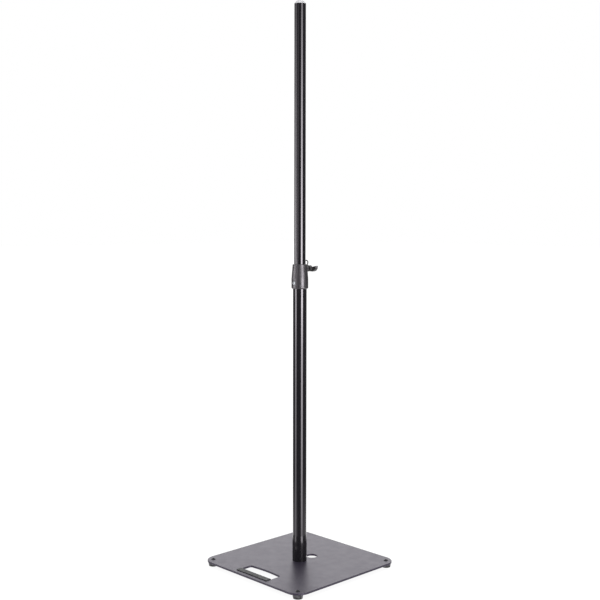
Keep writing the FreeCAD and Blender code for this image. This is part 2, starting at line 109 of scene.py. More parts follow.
CEILING_SLOPES = (0.9, 2.5)
CEILING_RADIANCE = 0.5
FLOOR_GLOW = 0.93

# ---- threads: pitch and depth ----
M8 = (1.25 * MM, 0.55 * MM)
M12 = (1.75 * MM, 0.8 * MM)
THREAD_STEPS = 12                      # rings for each turn of a thread
THREAD_SEGMENTS = 48
THREAD_CHAMFER = 1.2                   # in thread depths

# ---- rounded outlines ----
ARC_SHARE = 0.48                       # the most of a run that the arc at its end may take
SUPPORT_REACH = 1.3                    # of an arc's reach: where the point beside it goes
SUPPORT_RUN = 4.0                      # of an arc's reach: a shorter run gets no such point

# ---- the feet's places, as the nodes are named ----
PLACES = ("front_left", "front_right", "rear_left", "rear_right")


def half_width(node):
    """Half of a node's size along X."""
    low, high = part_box(node)
    return (high.x - low.x) / 2


def upright(node):
    """A node's lowest and highest corners, and the place of a piece turned about its upright middle."""
    low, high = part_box(node)
    middle = (low + high) / 2
    return low, high, Matrix.Translation((middle.x, middle.y, 0))


# ------------------------------------------------------------------ meshes

def linked(name, data):
    """A new object in the scene."""
    obj = bpy.data.objects.new(name, data)
    bpy.context.scene.collection.objects.link(obj)
    return obj


def finished(name, mesh, smooth_angle):
    """A scene object from a mesh, smooth but for its sharp edges."""
    mesh.shade_smooth()
    mesh.set_sharp_from_angle(angle=math.radians(smooth_angle))
    return linked(name, mesh)


def to_mesh(name, bm):
    """A mesh from the working mesh, which ends here."""
    mesh = bpy.data.meshes.new(name)
    bm.to_mesh(mesh)
    bm.free()
    return mesh


def skinned(bm, rings, closed=False):
    """Faces from each ring of vertices to the next. A ring of one vertex is a point on the axis."""
    pairs = list(zip(rings, rings[1:]))
    if closed:
        pairs.append((rings[-1], rings[0]))
    for a, b in pairs:
        count = max(len(a), len(b))
        for i in range(count):
            j = (i + 1) % count
            corners = [a[i % len(a)], a[j % len(a)], b[j % len(b)], b[i % len(b)]]
            distinct = list(dict.fromkeys(corners))
            if len(distinct) >= 3:
                bm.faces.new(distinct)


def round_form(angle):
    return 1.0


def hexagon(angle):
    """Polar radius of a hexagon whose flats are one unit from its middle."""
    return 1 / math.cos((angle % (math.pi / 3)) - math.pi / 6)


def ribbed(count, depth, sharpness=2.0):
    """Rounded ribs round a knob: the radius falls by a share between them."""
    def form(angle):
        wave = abs(math.sin(angle * count / 2))
        return 1 - depth * (1 - wave ** (1 / sharpness))
    return form


def softened(corners, steps=5):
    """An outline with each corner turned into an arc. A corner is (radius, height, rounding), and a
    corner that isn't round about the axis has its form as well.
    A point on either side of each arc keeps the straight runs flat under smooth shading."""
    outline = []
    for i, (r, z, rounding, *given) in enumerate(corners):
        form = given[0] if given else round_form
        here = Vector((r, z))
        if rounding <= 0 or i in (0, len(corners) - 1):
            outline.append((r, z, form))
            continue
        before = Vector(corners[i - 1][:2]) - here
        after = Vector(corners[i + 1][:2]) - here
        reach = min(rounding, ARC_SHARE * before.length, ARC_SHARE * after.length)
        start = here + before.normalized() * reach
        end = here + after.normalized() * reach
        arc = []
        for k in range(steps + 1):
            t = k / steps
            arc.append((1 - t) ** 2 * start + 2 * t * (1 - t) * here + t * t * end)
        if before.length > SUPPORT_RUN * reach:
            arc.insert(0, here + before.normalized() * SUPPORT_REACH * reach)
        if after.length > SUPPORT_RUN * reach:
            arc.append(here + after.normalized() * SUPPORT_REACH * reach)
        outline += [(p.x, p.y, form) for p in arc]
    return outline


def turned(name, corners, segments=96, place=Matrix(), closed=False):
    """A piece turned about its own Z, from corners in metres.
    A closed outline is a ring; an open one starts and ends on the axis."""
    if closed:
        corners = corners + [corners[0]]
    outline = softened(corners)
    if closed:
        outline = outline[:-1]
    bm = bmesh.new()
    rings = []
    for r, z, form in outline:
        if r < 1e-7:
            rings.append([bm.verts.new((0, 0, z))])
            continue
        ring = []
        for i in range(segments):
            angle = 2 * math.pi * i / segments
            reach = r * form(angle)
            ring.append(bm.verts.new((reach * math.cos(angle), reach * math.sin(angle), z)))
        rings.append(ring)
    skinned(bm, rings, closed)
    bmesh.ops.recalc_face_normals(bm, faces=bm.faces)
    bm.transform(place)
    return finished(name, to_mesh(name, bm), 32.0)


def along(axis, origin):
    """The place of a turned piece whose Z points along an axis from an origin."""
    return Matrix.Translation(origin) @ UP.rotation_difference(Vector(axis)).to_matrix().to_4x4()


def threaded(name, radius, start, end, thread, place=Matrix()):
    """A rod with a helical thread between two heights, chamfered at both ends."""
    pitch, depth = thread
    rows = int((end - start) / pitch * THREAD_STEPS)
    bm = bmesh.new()
    rings = []
    for k in range(rows + 1):
        z = start + (end - start) * k / rows
        edge = min(z - start, end - z)
        ring = []
        for i in range(THREAD_SEGMENTS):
            angle = 2 * math.pi * i / THREAD_SEGMENTS
            phase = (z / pitch - i / THREAD_SEGMENTS) % 1.0
            cut = depth * (1 - abs(2 * phase - 1))
            chamfer = max(0.0, depth * THREAD_CHAMFER - edge)
            reach = radius - max(cut, chamfer)
            ring.append(bm.verts.new((reach * math.cos(angle), reach * math.sin(angle), z)))
        rings.append(ring)
    skinned(bm, rings)
    bm.faces.new(list(reversed(rings[0])))
    bm.faces.new(rings[-1])
    bmesh.ops.recalc_face_normals(bm, faces=bm.faces)
    bm.transform(place)
    return finished(name, to_mesh(name, bm), 60.0)


def joined(name, *pieces):
    """Several pieces as one object."""
    bm = bmesh.new()
    for piece in pieces:
        bm.from_mesh(piece.data)
        bpy.data.objects.remove(piece)
    return finished(name, to_mesh(name, bm), 40.0)


def evaluated_mesh(obj):
    """The mesh that an object's modifiers, or a curve's settings, give."""
    bpy.context.view_layer.update()
    evaluated = obj.evaluated_get(bpy.context.evaluated_depsgraph_get())
    return bpy.data.meshes.new_from_object(evaluated)


def moulded(obj, voxel, smoothing):
    """Runs a piece's edges into soft moulded fillets: one skin, then smoothed."""
    skin = obj.modifiers.new("skin", "REMESH")
    skin.mode = "VOXEL"
    skin.voxel_size = voxel
    skin.use_smooth_shade = True
    soften = obj.modifiers.new("soften", "SMOOTH")
    soften.iterations = smoothing
    soften.factor = 0.5
    mesh = evaluated_mesh(obj)
    obj.modifiers.clear()
    obj.data = mesh
    return obj


# ------------------------------------------------------------------ materials

WARM_BLACK = (1.0, 0.94, 1.01)         # the tint of the gloss on the black enamel and plastic
PLUM_BLACK = (1.0, 0.87, 1.12)         # and on the powder coat


class Shader:
    """A material's nodes, with the few that these materials need."""

    def __init__(self, name, roughness, metallic=0.0, specular=0.5, tint=(1.0, 1.0, 1.0)):
        self.material = bpy.data.materials.new(name)
        self.material.use_nodes = True
        self.tree = self.material.node_tree
        self.surface = self.tree.nodes["Principled BSDF"]
        self.surface.inputs["Metallic"].default_value = metallic
        self.surface.inputs["Roughness"].default_value = roughness
        self.surface.inputs["Specular IOR Level"].default_value = specular
        self.surface.inputs["Specular Tint"].default_value = (*tint, 1)
        self.coordinates = self.node("ShaderNodeTexCoord").outputs["Object"]

    def node(self, kind, **settings):
        made = self.tree.nodes.new(kind)
        for key, value in settings.items():
            setattr(made, key, value)
        return made

    def link(self, source, target):
        self.tree.links.new(source, target)

    def stretched(self, scale):
        """The object's coordinates, scaled by three numbers."""
        mapping = self.node("ShaderNodeMapping")
        mapping.inputs["Scale"].default_value = scale
        self.link(self.coordinates, mapping.inputs["Vector"])
        return mapping.outputs["Vector"]

    def noise(self, scale, detail=3.0, vector=None):
        texture = self.node("ShaderNodeTexNoise")
        texture.inputs["Scale"].default_value = scale
        texture.inputs["Detail"].default_value = detail
        texture.inputs["Roughness"].default_value = 0.55
        self.link(vector or self.coordinates, texture.inputs["Vector"])
        return texture.outputs["Fac"]

    def ranged(self, value, low, high):
        """A noise's usual span, from 0.3 to 0.7, spread from low to high."""
        spread = self.node("ShaderNodeMapRange")
        spread.inputs["From Min"].default_value = 0.3
        spread.inputs["From Max"].default_value = 0.7
        spread.inputs["To Min"].default_value = low
        spread.inputs["To Max"].default_value = high
        self.link(value, spread.inputs["Value"])
        return spread.outputs["Result"]

    def colours(self, value, dark, light):
        """The base colour, between two colours by a value."""
        mix = self.node("ShaderNodeMix", data_type="RGBA")
        mix.inputs["A"].default_value = (*dark, 1)
        mix.inputs["B"].default_value = (*light, 1)
        self.link(value, mix.inputs["Factor"])
        self.link(mix.outputs["Result"], self.surface.inputs["Base Color"])

    def rough(self, value):
        self.link(value, self.surface.inputs["Roughness"])

    def bump(self, height, distance):
        """Adds a relief, in metres, to those there are."""
        relief = self.node("ShaderNodeBump")
        relief.inputs["Strength"].default_value = 1.0
        relief.inputs["Distance"].default_value = distance
        self.link(height, relief.inputs["Height"])
        normal = self.surface.inputs["Normal"]
        if normal.links:
            self.link(normal.links[0].from_socket, relief.inputs["Normal"])
        self.link(relief.outputs["Normal"], normal)


def powder_coat():
    """Fine-grained satin black powder coat on the base plate."""
    s = Shader("powder_coat", 0.4, tint=PLUM_BLACK)
    s.colours(s.ranged(s.noise(9.0, 4.0), 0, 1), (0.013, 0.011, 0.019), (0.017, 0.015, 0.023))
    s.rough(s.ranged(s.noise(38.0, 5.0), 0.38, 0.44))
    s.bump(s.noise(1100.0, 2.0), 0.00002)
    s.bump(s.noise(260.0, 2.0), 0.00002)
    return s.material


def enamel(name, low_rough, high_rough):
    """Gloss black enamel on a drawn steel tube."""
    s = Shader(name, low_rough, tint=WARM_BLACK)
    s.colours(s.ranged(s.noise(14.0, 4.0), 0, 1), (0.0040, 0.0036, 0.0046), (0.0060, 0.0056, 0.0068))
    drawn = s.noise(60.0, vector=s.stretched((8.0, 8.0, 0.15)))
    s.rough(s.ranged(drawn, low_rough, high_rough))
    s.bump(s.noise(300.0, 2.0), 0.000004)
    s.bump(drawn, 0.000003)
    return s.material


def grained_plastic(name, dark, light, roughness, specular=0.5):
    """Moulded plastic with a spark-eroded grain."""
    s = Shader(name, roughness, specular=specular, tint=WARM_BLACK)
    s.colours(s.ranged(s.noise(45.0, 4.0), 0, 1), dark, light)
    s.rough(s.ranged(s.noise(110.0, 4.0), roughness - 0.04, roughness + 0.05))
    s.bump(s.noise(1400.0, 3.0), 0.00004)
    return s.material


def rubber(name, dark, light):
    """Soft rubber: rough, with a dusty bloom."""
    s = Shader(name, 0.6)
    s.colours(s.ranged(s.noise(30.0, 5.0), 0, 1), dark, light)
    s.rough(s.ranged(s.noise(70.0, 4.0), 0.5, 0.68))
    s.bump(s.noise(1100.0, 3.0), 0.00005)
    return s.material


def metal(name, dark, light, roughness):
    """Plated or machined metal with fine tool marks."""
    s = Shader(name, roughness, metallic=1.0)
    s.colours(s.ranged(s.noise(60.0, 4.0), 0, 1), dark, light)
    marks = s.noise(500.0)
    s.rough(s.ranged(marks, roughness - 0.06, roughness + 0.08))
    s.bump(marks, 0.00001)
    return s.material


def braided_cord():
    """Black nylon cord: fine crossing strands."""
    s = Shader("nylon_cord", 0.6, specular=0.3)
    weave = []
    for lean in (1.0, -1.0):
        wave = s.node("ShaderNodeTexWave", wave_type="BANDS", bands_direction="DIAGONAL")
        wave.inputs["Scale"].default_value = 260.0
        wave.inputs["Distortion"].default_value = 0.4
        s.link(s.stretched((lean, 1.0, 1.0)), wave.inputs["Vector"])
        weave.append(wave.outputs["Fac"])
    crossing = s.node("ShaderNodeMath", operation="MAXIMUM")
    s.link(weave[0], crossing.inputs[0])
    s.link(weave[1], crossing.inputs[1])
    s.colours(crossing.outputs["Value"], (0.003, 0.003, 0.003), (0.010, 0.010, 0.011))
    s.bump(crossing.outputs["Value"], 0.00012)
    return s.material


MATERIALS = {
    "powder_black": powder_coat(),
    "gloss_black": enamel("gloss_enamel", 0.06, 0.10),
    "sleeve_black": enamel("sleeve_gloss", 0.12, 0.18),
    "collar_grey": grained_plastic(
        "collar_plastic", (0.004, 0.0035, 0.0045), (0.007, 0.0065, 0.0075), 0.385, specular=0.98
    ),
    "knob_black": grained_plastic(
        "knob_plastic", (0.003, 0.003, 0.003), (0.006, 0.006, 0.006), 0.30, specular=0.8
    ),
    "guide_nylon": grained_plastic("guide_nylon", (0.25, 0.25, 0.24), (0.33, 0.33, 0.32), 0.42),
    "cap_grey": grained_plastic("cap_plastic", (0.36, 0.36, 0.37), (0.43, 0.43, 0.44), 0.42),
    "zinc_steel": metal("zinc_steel", (0.30, 0.31, 0.33), (0.38, 0.39, 0.41), 0.42),
    "black_steel": metal("black_oxide_steel", (0.020, 0.020, 0.022), (0.032, 0.032, 0.034), 0.42),
    "brass": metal("machined_brass", (0.58, 0.43, 0.18), (0.68, 0.52, 0.25), 0.24),
    "grip_rubber": rubber("grip_rubber", (0.012, 0.012, 0.013), (0.020, 0.020, 0.021)),
    "foot_rubber": rubber("sole_rubber", (0.005, 0.005, 0.005), (0.009, 0.009, 0.009)),
    "foot_plastic": grained_plastic("foot_plastic", (0.030, 0.030, 0.032), (0.042, 0.042, 0.044), 0.40),
    "tether_cord": braided_cord(),
}
SLOT_OF = {s["node"]: s["material_slot"] for s in frame["record"]["subparts"]}


def shown(obj, node, body):
    """A detailed piece takes a CAD node's place, its body and its finish."""
    slot = SLOT_OF[node]
    obj.data.materials.clear()
    obj.data.materials.append(MATERIALS[slot])
    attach(obj, body)
    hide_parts(node)
    return obj


# ------------------------------------------------------------------ base

PLATE_LOW, PLATE_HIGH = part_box("base_plate")


def base_sleeve():
    """The sleeve round the tube's foot, with a tapered top."""
    low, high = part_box("base_sleeve")
    outer = half_width("base_sleeve")
    inner = half_width("lower_tube") + 0.05 * MM
    top_r = 21.4 * MM
    taper_h = 18.0 * MM
    corners = [
        (inner, low.z, 0),
        (outer, low.z, 0.3 * MM),
        (outer, high.z - taper_h, 4.0 * MM),
        (top_r, high.z, 0.2 * MM),
        (inner, high.z, 0.1 * MM),
    ]
    return turned("base_sleeve_shell", corners, 128, closed=True)


def handle_grip():
    """A rubber grip: a rounded bar with fine cross ribs, and a groove that holds the plate's edge."""
    low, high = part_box("handle_grip")
    groove = 3.0 * MM
    plate_edge = low.y + groove
    rib_pitch = 5.0 * MM
    rib_depth = 0.45 * MM
    plain_end = 6.0 * MM
    end_round = 1.5 * MM
    gap = 0.1 * MM
    section = [
        (plate_edge + gap, PLATE_LOW.z - gap, 0.2 * MM),
        (low.y, PLATE_LOW.z - gap, 0.4 * MM),
        (low.y, low.z, 1.2 * MM),
        (high.y, low.z, 4.0 * MM),
        (high.y, high.z, 4.6 * MM),
        (low.y, high.z, 1.6 * MM),
        (low.y, PLATE_HIGH.z + gap, 0.4 * MM),
        (plate_edge + gap, PLATE_HIGH.z + gap, 0.2 * MM),
    ]
    ring = softened(section + section[:1], 6)[:-1]
    middle = Vector(((low.y + high.y) / 2, (low.z + high.z) / 2))
    stations = np.linspace(low.x, high.x, 241)
    bm = bmesh.new()
    rows = []
    for x in stations:
        from_end = min(x - low.x, high.x - x)
        past_round = max(0.0, 1 - from_end / end_round)
        shrink = end_round * (1 - math.sqrt(max(0.0, 1 - past_round ** 2)))
        rib = rib_depth * (0.5 - 0.5 * math.cos(2 * math.pi * x / rib_pitch)) ** 2
        if from_end < plain_end:
            rib = 0.0
        row = []
        for y, z, _ in ring:
            out = Vector((y, z)) - middle
            in_groove = PLATE_LOW.z - 0.6 * MM <= z <= PLATE_HIGH.z + 0.6 * MM
            on_skin = y > plate_edge + 5.0 * MM or not in_groove
            pull = shrink + (rib if on_skin else 0.0)
            moved = Vector((y, z)) - out.normalized() * pull
            row.append(bm.verts.new((x, moved.x, moved.y)))
        rows.append(row)
    skinned(bm, rows)
    bm.faces.new(rows[0])
    bm.faces.new(list(reversed(rows[-1])))
    bmesh.ops.recalc_face_normals(bm, faces=bm.faces)
    return finished("handle_grip_skin", to_mesh("handle_grip_skin", bm), 50.0)


def base_bolt():
    """An M12 bolt, head down: it holds the tube to the plate."""
    low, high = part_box("base_bolt")
    head_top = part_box("base_washer")[0].z
    flats = (high.y - low.y) / 2
    head = turned("bolt_head", [
        (0, low.z, 0),
        (flats * 0.93, low.z, 0.2 * MM),
        (flats, low.z + 0.9 * MM, 0.2 * MM, hexagon),
        (flats, head_top - 0.3 * MM, 0.2 * MM, hexagon),
        (flats * 0.95, head_top, 0),
        (0, head_top, 0),
    ])
    shank = threaded("bolt_shank", 5.95 * MM, head_top, high.z, M12)
    return joined("base_bolt_m12", head, shank)


def base_washer():
    low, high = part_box("base_washer")
    outer = half_width("base_washer")
    inner = 6.1 * MM
    corners = [
        (inner, low.z, 0.2 * MM),
        (outer, low.z, 0.4 * MM),
        (outer, high.z, 0.3 * MM),
        (inner, high.z, 0.2 * MM),
    ]
    return turned("base_washer_disc", corners, closed=True)


# ------------------------------------------------------------------ tubes

def lower_tube():
    """The round steel tube, with softened ends."""
    low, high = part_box("lower_tube")
    outer = half_width("lower_tube")
    wall = 2.0 * MM
    edge = 0.4 * MM
    corners = [
        (outer - wall, low.z, edge),
        (outer, low.z, edge),
        (outer, (low.z + high.z) / 2, 0),
        (outer, high.z, edge),
        (outer - wall, high.z, edge),
    ]
    return turned("lower_tube_enamelled", corners, 160, closed=True)


def mast_cap():
    """The tapered cap, with a small flat top and a soft shoulder."""
    low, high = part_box("mast_cap")
    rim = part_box("mast_tube")[1].z
    outer = half_width("mast_cap")
    stem = outer - 2.1 * MM
    corners = [
        (0, low.z, 0),
        (stem, low.z, 1.0 * MM),
        (stem, rim, 0),
        (outer, rim, 0.3 * MM),
        (outer, rim + 2.0 * MM, 1.6 * MM),
        (0.56 * outer, high.z - 1.2 * MM, 3.0 * MM),
        (0.40 * outer, high.z, 1.2 * MM),
        (0, high.z, 0),
    ]
    return turned("mast_cap_moulding", corners, 128)


# ------------------------------------------------------------------ collar and clamp

def cad_copy(node, name):
    """A new object with a copy of a CAD node's mesh."""
    mesh = NODES[node].data.copy()
    weld = bmesh.new()
    weld.from_mesh(mesh)
    bmesh.ops.remove_doubles(weld, verts=weld.verts, dist=1e-6)
    weld.to_mesh(mesh)
    weld.free()
    return linked(name, mesh)


CLAMP = Vector(JOINTS["clamp_knob_turn"]["pos_m"])


def clamp_knob():
    """A wing knob moulded in one: soft edges all round, and flutes round its skirt."""
    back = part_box("clamp_knob")[0].y
    knob = moulded(cad_copy("clamp_knob", "clamp_wing_knob"), 0.35 * MM, 4)
    flutes = ribbed(14, 0.06)
    skirt_r = 9.5 * MM
    skirt_start = back + 1.2 * MM
    skirt_end = back + 8.8 * MM
    for vertex in knob.data.vertices:
        spot = vertex.co
        out = Vector((spot.x, spot.z - CLAMP.z))
        if out.length < 0.8 * skirt_r or not skirt_start < spot.y < skirt_end:
            continue
        form = flutes(math.atan2(out.y, out.x))
        vertex.co = (spot.x * form, spot.y, CLAMP.z + out.y * form)
    knob.data.shade_smooth()
    return knob


def clamp_screw():
    """The M8 screw that the knob turns."""
    low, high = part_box("clamp_screw")
    axis = along((0, 1, 0), Vector((0, 0, CLAMP.z)))
    return threaded("clamp_screw_m8", 3.98 * MM, low.y, high.y - 0.2 * MM, M8, axis)


def collar_fixing_screw():
    """A socket screw whose head sits in the collar's round recess."""
    low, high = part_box("collar_fixing_screw")
    z = (low.z + high.z) / 2
    head_r = (high.z - low.z) / 2
    axis = along((0, -1, 0), Vector((0, 0, z)))
    end = -high.y
    under = 22.4 * MM
    top = -low.y
    shank = 2.45 * MM
    socket = 2.0 * MM
    return turned("collar_socket_screw", [
        (0, end, 0),
        (2.2 * MM, end, 0.3 * MM),
        (shank, end + 0.5 * MM, 0),
        (shank, under, 0),
        (head_r, under, 0.2 * MM),
        (head_r, top - 0.9 * MM, 0.8 * MM),
        (head_r * 0.72, top, 0.5 * MM),
        (socket, top, 0, hexagon),
        (socket, top - 1.6 * MM, 0, hexagon),
        (0, top - 1.9 * MM, 0),
    ], place=axis)


# ------------------------------------------------------------------ safety bolt

BOLT_AXIS = Vector(JOINTS["safety_bolt_pull"]["axis"]).normalized()
BOLT_PLACE = along(BOLT_AXIS, Vector((0, 0, sum(corner.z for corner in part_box("safety_bolt")) / 2)))


def reach_along_bolt(node):
    """A node's nearest and furthest distance from the mast, along the bolt's axis."""
    spots = [Vector(v.co).dot(BOLT_AXIS) for v in NODES[node].data.vertices]
    return min(spots), max(spots)


def safety_bolt():
    """The pin that goes through a hole of the mast."""
    start, end = reach_along_bolt("safety_bolt")
    end -= 0.1 * MM
    radius = 4.0 * MM
    return turned("safety_bolt_pin", [
        (0, start, 0),
        (radius * 0.62, start, 0.3 * MM),
        (radius, start + 2.2 * MM, 0.6 * MM),
        (radius, end, 0),
        (0, end, 0),
    ], 72, BOLT_PLACE)


def safety_bolt_head():
    """The bolt's ribbed knob."""
    start, end = reach_along_bolt("safety_bolt_head")
    radius = 8.0 * MM
    grip = ribbed(20, 0.09)
    return turned("safety_bolt_knob", [
        (0, start, 0),
        (radius * 0.86, start, 0.6 * MM),
        (radius * 0.99, start + 1.5 * MM, 0.8 * MM, grip),
        (radius * 0.99, end - 2.6 * MM, 1.6 * MM, grip),
        (radius * 0.80, end - 0.6 * MM, 1.2 * MM),
        (radius * 0.50, end, 1.0 * MM),
        (0, end, 0),
    ], 160, BOLT_PLACE)


# ------------------------------------------------------------------ feet

def foot_knob(place):
    """The ribbed body of a foot, which is turned by hand."""
    low, high, centred = upright(f"foot_knob_{place}")
    outer = (high.x - low.x) / 2
    ribs = ribbed(24, 0.07)
    stem = 5.1 * MM
    corners = [
        (stem, low.z, 0.2 * MM),
        (outer * 0.93, low.z, 0.5 * MM),
        (outer * 0.998, low.z + 0.9 * MM, 0.5 * MM, ribs),
        (outer * 0.998, high.z - 1.1 * MM, 0.6 * MM, ribs),
        (outer * 0.93, high.z, 0.5 * MM),
        (stem, high.z, 0.2 * MM),
    ]
    return turned(f"foot_grip_{place}", corners, 192, centred, closed=True)


def foot_sole(place):
    """The rubber sole: two rings of tread below, and a stem that turns in the foot."""
    low, high, centred = upright(f"foot_sole_{place}")
    outer = (high.x - low.x) / 2
    tread = 0.6 * MM
    thickness = 4.0 * MM
    stem = 5.0 * MM
    corners = [(0, low.z + tread, 0)]
    for inner_edge, outer_edge in ((0.20, 0.36), (0.50, 0.66)):
        corners += [
            (outer * inner_edge, low.z + tread, 0.2 * MM),
            (outer * inner_edge, low.z, 0.2 * MM),
            (outer * outer_edge, low.z, 0.2 * MM),
            (outer * outer_edge, low.z + tread, 0.2 * MM),
        ]
    corners += [
        (outer * 0.80, low.z + tread, 0.2 * MM),
        (outer * 0.80, low.z, 0.2 * MM),
        (outer - 0.2 * MM, low.z, 0.8 * MM),
        (outer, low.z + thickness, 0.5 * MM),
        (stem, low.z + thickness, 0),
        (stem, high.z, 0.4 * MM),
        (0, high.z, 0),
    ]
    return turned(f"foot_pad_{place}", corners, place=centred)


def foot_stud(place):
    """The levelling stud: an M8 thread with a chamfered end and a hexagon socket."""
    low, high, centred = upright(f"foot_stud_{place}")
    thread_top = high.z - 0.5 * MM
    rod = threaded(f"stud_rod_{place}", 3.97 * MM, low.z, thread_top, M8, centred)
    root = 3.2 * MM
    socket = 2.0 * MM
    end = turned(f"stud_end_{place}", [
        (root, thread_top - 0.4 * MM, 0),
        (root, high.z, 0.3 * MM),
        (socket, high.z, 0.1 * MM, hexagon),
        (socket, high.z - 0.1 * MM, 0, hexagon),
        (socket, thread_top - 0.2 * MM, 0, hexagon),
    ], 48, centred, closed=True)
    return joined(f"foot_stud_m8_{place}", rod, end)


def foot_insert_flange():
    """The four domed flanges on the plate, each with its threaded bore."""
    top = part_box("foot_inserts")[1].z
    bore = 4.05 * MM
    barrel = 5.4 * MM
    flange = 6.8 * MM
    corners = [
        (bore, PLATE_LOW.z, 0.2 * MM),
        (barrel, PLATE_LOW.z, 0.2 * MM),
        (barrel, PLATE_HIGH.z, 0),
        (flange, PLATE_HIGH.z, 0),
        (flange - 0.1 * MM, PLATE_HIGH.z + 0.7 * MM, 0.5 * MM),
        (flange - 1.2 * MM, top, 0.8 * MM),
        (bore, top, 0.3 * MM),
    ]
    inserts = []
    for place in PLACES:
        centred = upright(f"foot_knob_{place}")[2]
        inserts.append(turned("insert", corners, 72, centred, closed=True))
    return joined("foot_insert_flanges", *inserts)


# ------------------------------------------------------------------ tether

TETHER_D = 3.4 * MM
COLLAR_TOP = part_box("collar")[1].z
TETHER_ROUTE = [
    Vector((x * MM, y * MM, COLLAR_TOP + rise * MM))
    for x, y, rise in (
        (0.0, 31.7, -3.8),
        (0.0, 31.9, -0.6),
        (0.2, 33.8, 3.2),
        (-2.2, 35.6, 7.2),
        (-6.7, 35.9, 10.1),
        (-12.5, 35.0, 10.6),
        (-18.6, 33.6, 8.4),
        (-24.6, 32.3, 3.6),
        (-29.1, 30.6, -3.8),
        (-29.8, 29.8, -13.7),
    )
]


def tether_line():
    """The tether's smooth line through its route, as a curve with no thickness."""
    curve = bpy.data.curves.new("tether_line", "CURVE")
    curve.dimensions = "3D"
    curve.resolution_u = 12
    spline = curve.splines.new("NURBS")
    spline.points.add(len(TETHER_ROUTE) - 1)
    for point, spot in zip(spline.points, TETHER_ROUTE):
        point.co = (*spot, 1)
    spline.order_u = 3
    spline.use_endpoint_u = True
    return curve


def tether():
    """The cord as a mesh tube along its line, and the points of that line."""
    line = linked("tether_line", tether_line())
    path = [tuple(v.co) for v in evaluated_mesh(line).vertices]
    line.data.bevel_depth = TETHER_D / 2
    line.data.bevel_resolution = 6
    line.data.use_fill_caps = True
    mesh = evaluated_mesh(line)
    mesh.name = "tether_strand"
    bpy.data.objects.remove(line)
    return finished("tether_strand", mesh, 60.0), path


# ------------------------------------------------------------------ assembly

for node, obj in NODES.items():
    obj.data.materials.clear()
    obj.data.materials.append(MATERIALS[SLOT_OF[node]])

shown(base_sleeve(), "base_sleeve", "stand")
shown(handle_grip(), "handle_grip", "stand")
shown(base_bolt(), "base_bolt", "stand")
shown(base_washer(), "base_washer", "stand")
shown(lower_tube(), "lower_tube", "stand")
shown(mast_cap(), "mast_cap", "mast")
shown(moulded(cad_copy("collar", "collar_moulding"), 0.5 * MM, 3), "collar", "stand")
shown(collar_fixing_screw(), "collar_fixing_screw", "stand")
shown(clamp_knob(), "clamp_knob", "clamp_screw")
shown(clamp_screw(), "clamp_screw", "clamp_screw")
shown(safety_bolt(), "safety_bolt", "safety_bolt")
shown(safety_bolt_head(), "safety_bolt_head", "safety_bolt")
shown(foot_insert_flange(), "foot_inserts", "stand")
for place in PLACES:
    shown(foot_sole(place), f"foot_sole_{place}", f"foot_sole_{place}")
    shown(foot_knob(place), f"foot_knob_{place}", f"foot_{place}")
    shown(foot_stud(place), f"foot_stud_{place}", f"foot_{place}")

strand, strand_path = tether()
strand.data.materials.append(MATERIALS["tether_cord"])
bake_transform(strand)
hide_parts("tether")


# ------------------------------------------------------------------ studio

TO_CAMERA = Vector((math.sin(CAMERA_TURN), -math.cos(CAMERA_TURN), 0))
TO_RIGHT = Vector((math.cos(CAMERA_TURN), math.sin(CAMERA_TURN), 0))


def camera():
    data = bpy.data.cameras.new("camera")
    data.sensor_width = SENSOR
    data.lens = LENS
    obj = linked("camera", data)
    obj.location = TO_CAMERA * CAMERA_DISTANCE + UP * CAMERA_HEIGHT
    turn = Matrix.Rotation(CAMERA_TURN - CAMERA_PAN, 3, "Z")
    tilt = Matrix.Rotation(math.pi / 2 - CAMERA_PITCH, 3, "X")
    roll = Matrix.Rotation(CAMERA_ROLL, 3, "Z")
    obj.rotation_euler = (turn @ tilt @ roll).to_euler()
    bpy.context.scene.camera = obj


